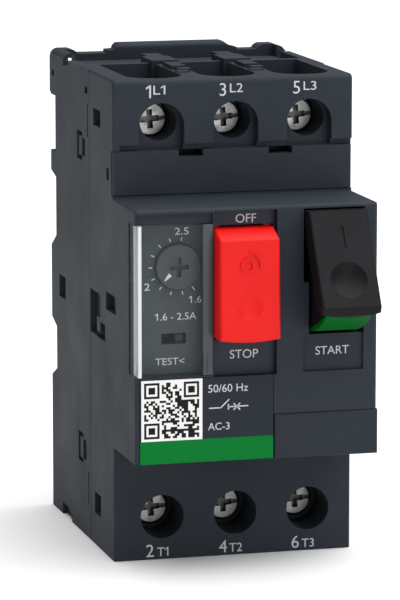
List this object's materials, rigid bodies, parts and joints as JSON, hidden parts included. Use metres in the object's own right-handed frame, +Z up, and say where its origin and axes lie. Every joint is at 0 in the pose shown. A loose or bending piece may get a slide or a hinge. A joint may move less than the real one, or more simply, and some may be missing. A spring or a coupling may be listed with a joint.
{
  "type": "motor protection breaker",
  "caption": "Compact rail-mounted motor protection breaker with rocker start and stop buttons, a current dial under a clear cover and screw terminals top and bottom.",
  "frame": {"origin": "centre of the 35 mm mounting rail's line on the back plane, midway between the sides", "axes": "+Z up as the front is read, +X to the reader's right, front faces -Y, back plane at y = 0"},
  "size_m": [0.0446, 0.0772, 0.089],
  "materials": {
    "housing_plastic": "fine moulded matte",
    "red_plastic": "satin moulded",
    "black_plastic": "satin moulded",
    "green_plastic": "satin moulded",
    "clear_plastic": "clear moulded polycarbonate",
    "grey_plate": "fine moulded matte",
    "label_film": "printed film",
    "insulating_plastic": "natural moulded",
    "steel": "zinc plated",
    "spring_steel": "drawn wire",
    "screw_metal": "nickel plated",
    "copper": "stamped copper",
    "silver": "silver alloy",
    "bimetal": "rolled strip"
  },
  "bodies": {
    "housing": {"arc_splitter_plates": "steel", "aux_contact_blank": "housing_plastic", "bimetals": "bimetal", "button_pivot_pin": "steel", "coil_bobbins": "insulating_plastic", "compensation_bimetal": "bimetal", "din_clip_spring": "spring_steel", "fixed_contact_tips": "silver", "front_housing": "housing_plastic", "heater_links": "copper", "heater_sleeves": "insulating_plastic", "heater_windings": "bimetal", "latch_bracket": "steel", "latch_pin": "steel", "lever_pin": "steel", "line_strips": "copper", "line_terminal_saddles": "steel", "line_terminal_screws": "screw_metal", "load_contact_strips": "copper", "load_terminal_saddles": "steel", "load_terminal_screws": "screw_metal", "load_terminal_strips": "copper", "magnet_coils": "copper", "magnet_cores": "steel", "magnet_yokes": "steel", "marker_holder": "housing_plastic", "mechanism_frame": "steel", "plunger_spring_1": "spring_steel", "plunger_spring_2": "spring_steel", "plunger_spring_3": "spring_steel", "rating_plate": "label_film", "rear_base": "housing_plastic", "setting_plate": "grey_plate", "start_spring": "spring_steel", "stop_bezel": "black_plastic", "stop_spring": "spring_steel"},
    "start_rocker": {"start_button": "black_plastic", "start_flag": "green_plastic"},
    "stop_rocker": {"stop_button": "red_plastic"},
    "switch_carrier": {"contact_carrier": "insulating_plastic", "moving_bridges": "copper", "moving_contact_tips": "silver", "contact_springs": "spring_steel"},
    "lever": {"drive_lever": "steel"},
    "latch": {"trip_latch": "steel"},
    "overload_slide": {"trip_slide": "insulating_plastic"},
    "phase_slide": {"phase_loss_slide": "insulating_plastic"},
    "test_tab": {"test_lever": "insulating_plastic"},
    "dial": {"setting_dial": "grey_plate", "setting_cam": "insulating_plastic"},
    "cover": {"transparent_cover": "clear_plastic"},
    "rail_clip": {"din_clip": "black_plastic"},
    "striker_1": {"plunger_1": "steel"},
    "striker_2": {"plunger_2": "steel"},
    "striker_3": {"plunger_3": "steel"}
  },
  "joints": [
    {"name": "start_press", "type": "hinge", "parent": "housing", "child": "start_rocker", "pos_m": [0.014, -0.0625, 0.0185], "axis": [1, 0, 0], "range_deg": [0, 20], "stiffness_Nm_per_rad": 0.02, "springref_deg": -11.46},
    {"name": "stop_pop", "type": "hinge", "parent": "housing", "child": "stop_rocker", "pos_m": [-0.0024, -0.0625, 0.0185], "axis": [1, 0, 0], "range_deg": [-6, 0]},
    {"name": "contact_travel", "type": "slide", "parent": "housing", "child": "switch_carrier", "axis": [0, 1, 0], "range_m": [0, 0.00255]},
    {"name": "lever_rock", "type": "hinge", "parent": "housing", "child": "lever", "pos_m": [0.014, -0.0485, -0.0145], "axis": [1, 0, 0], "range_deg": [-6, 0]},
    {"name": "test_trip", "type": "slide", "parent": "housing", "child": "test_tab", "axis": [1, 0, 0], "range_m": [-0.0015, 0], "stiffness_N_per_m": 150, "springref_m": 0.001},
    {"name": "trip_shift", "type": "slide", "parent": "housing", "child": "overload_slide", "axis": [1, 0, 0], "range_m": [-0.0015, 0]},
    {"name": "phase_shift", "type": "slide", "parent": "housing", "child": "phase_slide", "axis": [1, 0, 0], "range_m": [-0.0015, 0]},
    {"name": "latch_release", "type": "hinge", "parent": "housing", "child": "latch", "pos_m": [0.005, -0.052, 0.0045], "axis": [0, 0, 1], "range_deg": [0, 15]},
    {"name": "dial_turn", "type": "hinge", "parent": "housing", "child": "dial", "pos_m": [-0.01375, -0.062, 0.0101], "axis": [0, -1, 0], "range_deg": [-143, 82]},
    {"name": "cover_open", "type": "hinge", "parent": "housing", "child": "cover", "pos_m": [-0.0212, -0.0646, 0.0045], "axis": [0, 0, -1], "range_deg": [0, 110]},
    {"name": "rail_clip_pull", "type": "slide", "parent": "housing", "child": "rail_clip", "axis": [0, 0, 1], "range_m": [-0.003, 0], "stiffness_N_per_m": 800, "springref_m": 0.002, "deforming": ["din_clip_spring"]},
    {"name": "plunger_strike_1", "type": "slide", "parent": "housing", "child": "striker_1", "axis": [0, -1, 0], "range_m": [0, 0.0015], "stiffness_N_per_m": 200, "springref_m": -0.0005, "deforming": ["plunger_spring_1"]},
    {"name": "plunger_strike_2", "type": "slide", "parent": "housing", "child": "striker_2", "axis": [0, -1, 0], "range_m": [0, 0.0015], "stiffness_N_per_m": 200, "springref_m": -0.0005, "deforming": ["plunger_spring_2"]},
    {"name": "plunger_strike_3", "type": "slide", "parent": "housing", "child": "striker_3", "axis": [0, -1, 0], "range_m": [0, 0.0015], "stiffness_N_per_m": 200, "springref_m": -0.0005, "deforming": ["plunger_spring_3"]}
  ],
  "couplings": [
    {"joint": "stop_pop", "follows": "start_press", "ratio": -0.3},
    {"joint": "contact_travel", "follows": "start_press", "m_per_rad": 0.007298},
    {"joint": "lever_rock", "follows": "start_press", "ratio": -0.3},
    {"joint": "trip_shift", "follows": "test_trip", "ratio": 1},
    {"joint": "phase_shift", "follows": "test_trip", "ratio": 1},
    {"joint": "latch_release", "follows": "test_trip", "rad_per_m": -174.36}
  ]
}
